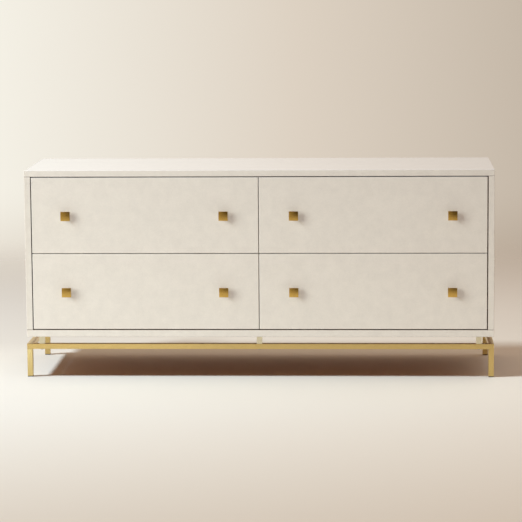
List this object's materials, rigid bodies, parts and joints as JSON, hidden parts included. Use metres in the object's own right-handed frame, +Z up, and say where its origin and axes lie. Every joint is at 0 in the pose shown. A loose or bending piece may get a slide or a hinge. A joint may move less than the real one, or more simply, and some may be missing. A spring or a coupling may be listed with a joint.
{
  "type": "low chest of drawers",
  "caption": "Low wide chest of drawers with inset fronts, square brass knobs and a shagreen-covered case held above a slim square-tube brass stand.",
  "frame": {"origin": "on the floor under the middle of the whole outline, knobs included", "axes": "+X to the right-hand end, -Y to the front with the knobs, +Z up"},
  "size_m": [1.626, 0.5, 0.723],
  "materials": {
    "ivory_shagreen": "board covered in ivory embossed shagreen, satin",
    "case_lining": "ivory lacquered board",
    "drawer_wood": "clear lacquered hardwood",
    "drawer_bottom": "clear lacquered plywood",
    "satin_brass": "satin brass, finely brushed",
    "slide_steel": "zinc-plated steel",
    "screw_steel": "zinc-plated steel",
    "glide_plastic": "dark moulded plastic"
  },
  "bodies": {
    "case": {"top_panel": "ivory_shagreen", "bottom_panel": "ivory_shagreen", "left_side_panel": "ivory_shagreen", "right_side_panel": "ivory_shagreen", "centre_partition": "case_lining", "back_panel": "case_lining", "carcass_tongues": "drawer_wood", "slide_cabinet_members": "slide_steel", "front_rail": "satin_brass", "rear_rail": "satin_brass", "left_end_rail": "satin_brass", "right_end_rail": "satin_brass", "front_left_leg": "satin_brass", "front_right_leg": "satin_brass", "rear_left_leg": "satin_brass", "rear_right_leg": "satin_brass", "standoff_blocks": "satin_brass", "foot_glides": "glide_plastic"},
    "lower_left_drawer": {"lower_left_drawer_front": "ivory_shagreen", "lower_left_box_front": "drawer_wood", "lower_left_box_back": "drawer_wood", "lower_left_box_left_side": "drawer_wood", "lower_left_box_right_side": "drawer_wood", "lower_left_box_bottom": "drawer_bottom", "lower_left_slide_drawer_members": "slide_steel", "lower_left_knobs": "satin_brass", "lower_left_knob_screws": "screw_steel"},
    "lower_left_runners": {"lower_left_slide_middle_members": "slide_steel"},
    "lower_right_drawer": {"lower_right_drawer_front": "ivory_shagreen", "lower_right_box_front": "drawer_wood", "lower_right_box_back": "drawer_wood", "lower_right_box_left_side": "drawer_wood", "lower_right_box_right_side": "drawer_wood", "lower_right_box_bottom": "drawer_bottom", "lower_right_slide_drawer_members": "slide_steel", "lower_right_knobs": "satin_brass", "lower_right_knob_screws": "screw_steel"},
    "lower_right_runners": {"lower_right_slide_middle_members": "slide_steel"},
    "upper_left_drawer": {"upper_left_drawer_front": "ivory_shagreen", "upper_left_box_front": "drawer_wood", "upper_left_box_back": "drawer_wood", "upper_left_box_left_side": "drawer_wood", "upper_left_box_right_side": "drawer_wood", "upper_left_box_bottom": "drawer_bottom", "upper_left_slide_drawer_members": "slide_steel", "upper_left_knobs": "satin_brass", "upper_left_knob_screws": "screw_steel"},
    "upper_left_runners": {"upper_left_slide_middle_members": "slide_steel"},
    "upper_right_drawer": {"upper_right_drawer_front": "ivory_shagreen", "upper_right_box_front": "drawer_wood", "upper_right_box_back": "drawer_wood", "upper_right_box_left_side": "drawer_wood", "upper_right_box_right_side": "drawer_wood", "upper_right_box_bottom": "drawer_bottom", "upper_right_slide_drawer_members": "slide_steel", "upper_right_knobs": "satin_brass", "upper_right_knob_screws": "screw_steel"},
    "upper_right_runners": {"upper_right_slide_middle_members": "slide_steel"}
  },
  "joints": [
    {"name": "lower_left_drawer_slide", "type": "slide", "parent": "case", "child": "lower_left_drawer", "axis": [0, -1, 0], "range_m": [0, 0.39]},
    {"name": "lower_left_runner_slide", "type": "slide", "parent": "case", "child": "lower_left_runners", "axis": [0, -1, 0], "range_m": [0, 0.2]},
    {"name": "lower_right_drawer_slide", "type": "slide", "parent": "case", "child": "lower_right_drawer", "axis": [0, -1, 0], "range_m": [0, 0.39]},
    {"name": "lower_right_runner_slide", "type": "slide", "parent": "case", "child": "lower_right_runners", "axis": [0, -1, 0], "range_m": [0, 0.2]},
    {"name": "upper_left_drawer_slide", "type": "slide", "parent": "case", "child": "upper_left_drawer", "axis": [0, -1, 0], "range_m": [0, 0.39]},
    {"name": "upper_left_runner_slide", "type": "slide", "parent": "case", "child": "upper_left_runners", "axis": [0, -1, 0], "range_m": [0, 0.2]},
    {"name": "upper_right_drawer_slide", "type": "slide", "parent": "case", "child": "upper_right_drawer", "axis": [0, -1, 0], "range_m": [0, 0.39]},
    {"name": "upper_right_runner_slide", "type": "slide", "parent": "case", "child": "upper_right_runners", "axis": [0, -1, 0], "range_m": [0, 0.2]}
  ],
  "couplings": [
    {"joint": "lower_left_runner_slide", "follows": "lower_left_drawer_slide", "ratio": 0.5},
    {"joint": "lower_right_runner_slide", "follows": "lower_right_drawer_slide", "ratio": 0.5},
    {"joint": "upper_left_runner_slide", "follows": "upper_left_drawer_slide", "ratio": 0.5},
    {"joint": "upper_right_runner_slide", "follows": "upper_right_drawer_slide", "ratio": 0.5}
  ]
}
